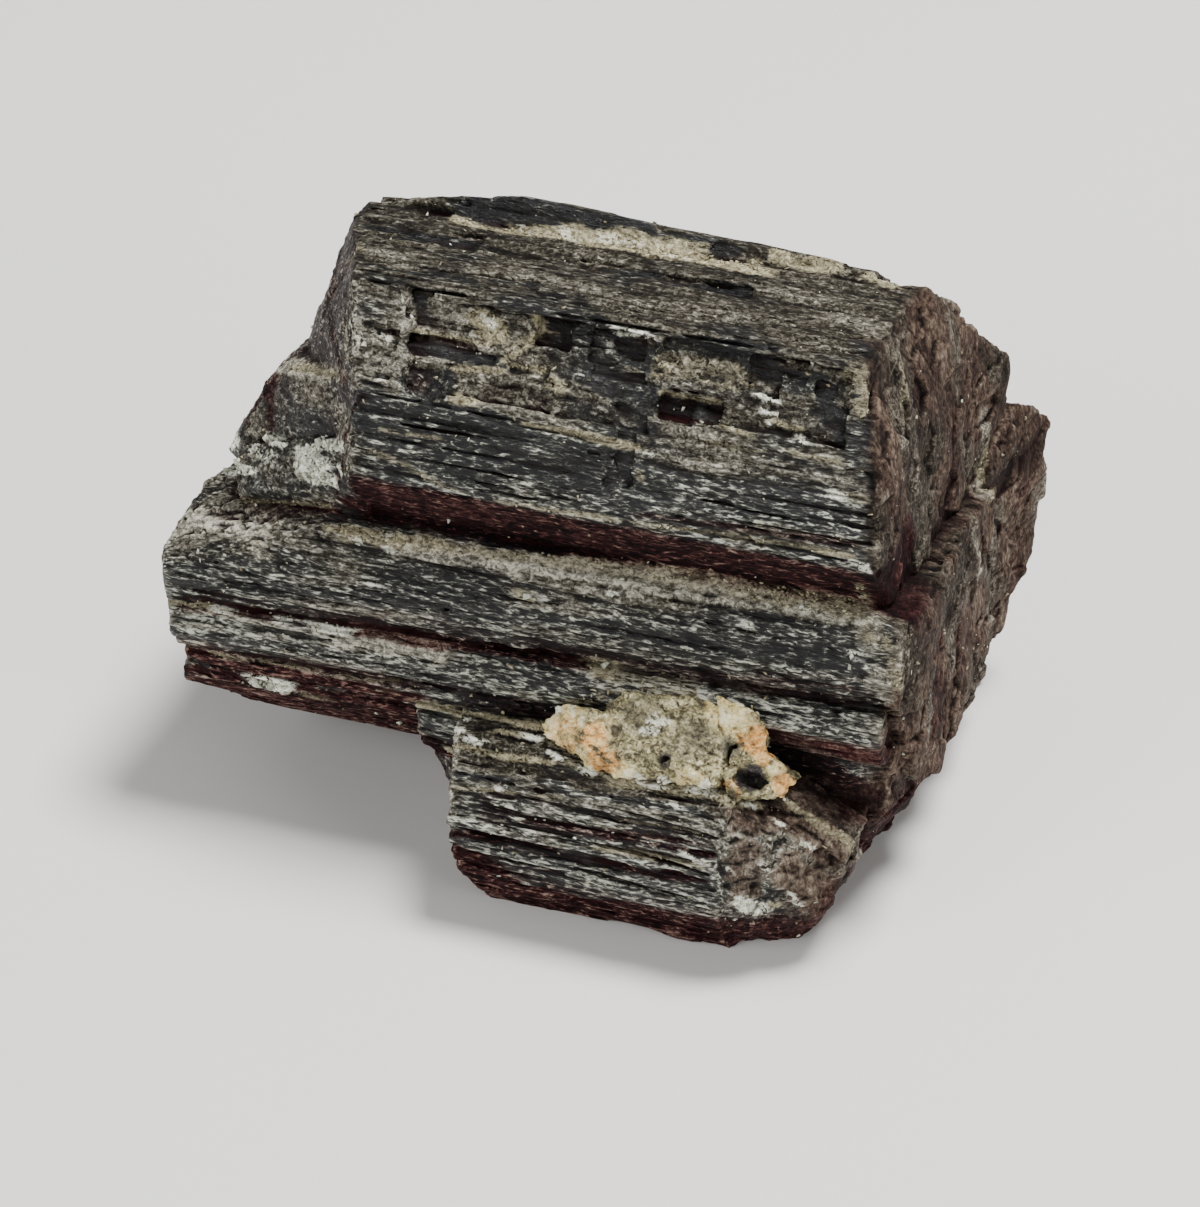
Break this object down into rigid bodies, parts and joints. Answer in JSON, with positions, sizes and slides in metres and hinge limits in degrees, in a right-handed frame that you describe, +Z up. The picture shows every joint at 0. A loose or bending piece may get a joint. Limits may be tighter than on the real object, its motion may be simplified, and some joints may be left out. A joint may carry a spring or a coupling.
{
  "type": "rough black tourmaline specimen",
  "caption": "Rough chunk of black tourmaline: parallel striated prisms grown together, with broken ends and a small lump of feldspar and quartz matrix.",
  "frame": {"origin": "middle of the stone's footprint box, on the surface that it rests on", "axes": "+X along the crystals' prisms and striations, towards the wide broken end, +Y from the stepped front to the back, +Z up"},
  "size_m": [0.0614, 0.0422, 0.0475],
  "materials": {
    "schorl": "black to dark grey, semi-gloss on the striated prism faces, dull and dusty with olive-grey mica where broken"
  },
  "bodies": {
    "root": {"black_tourmaline": "schorl"}
  },
  "joints": []
}
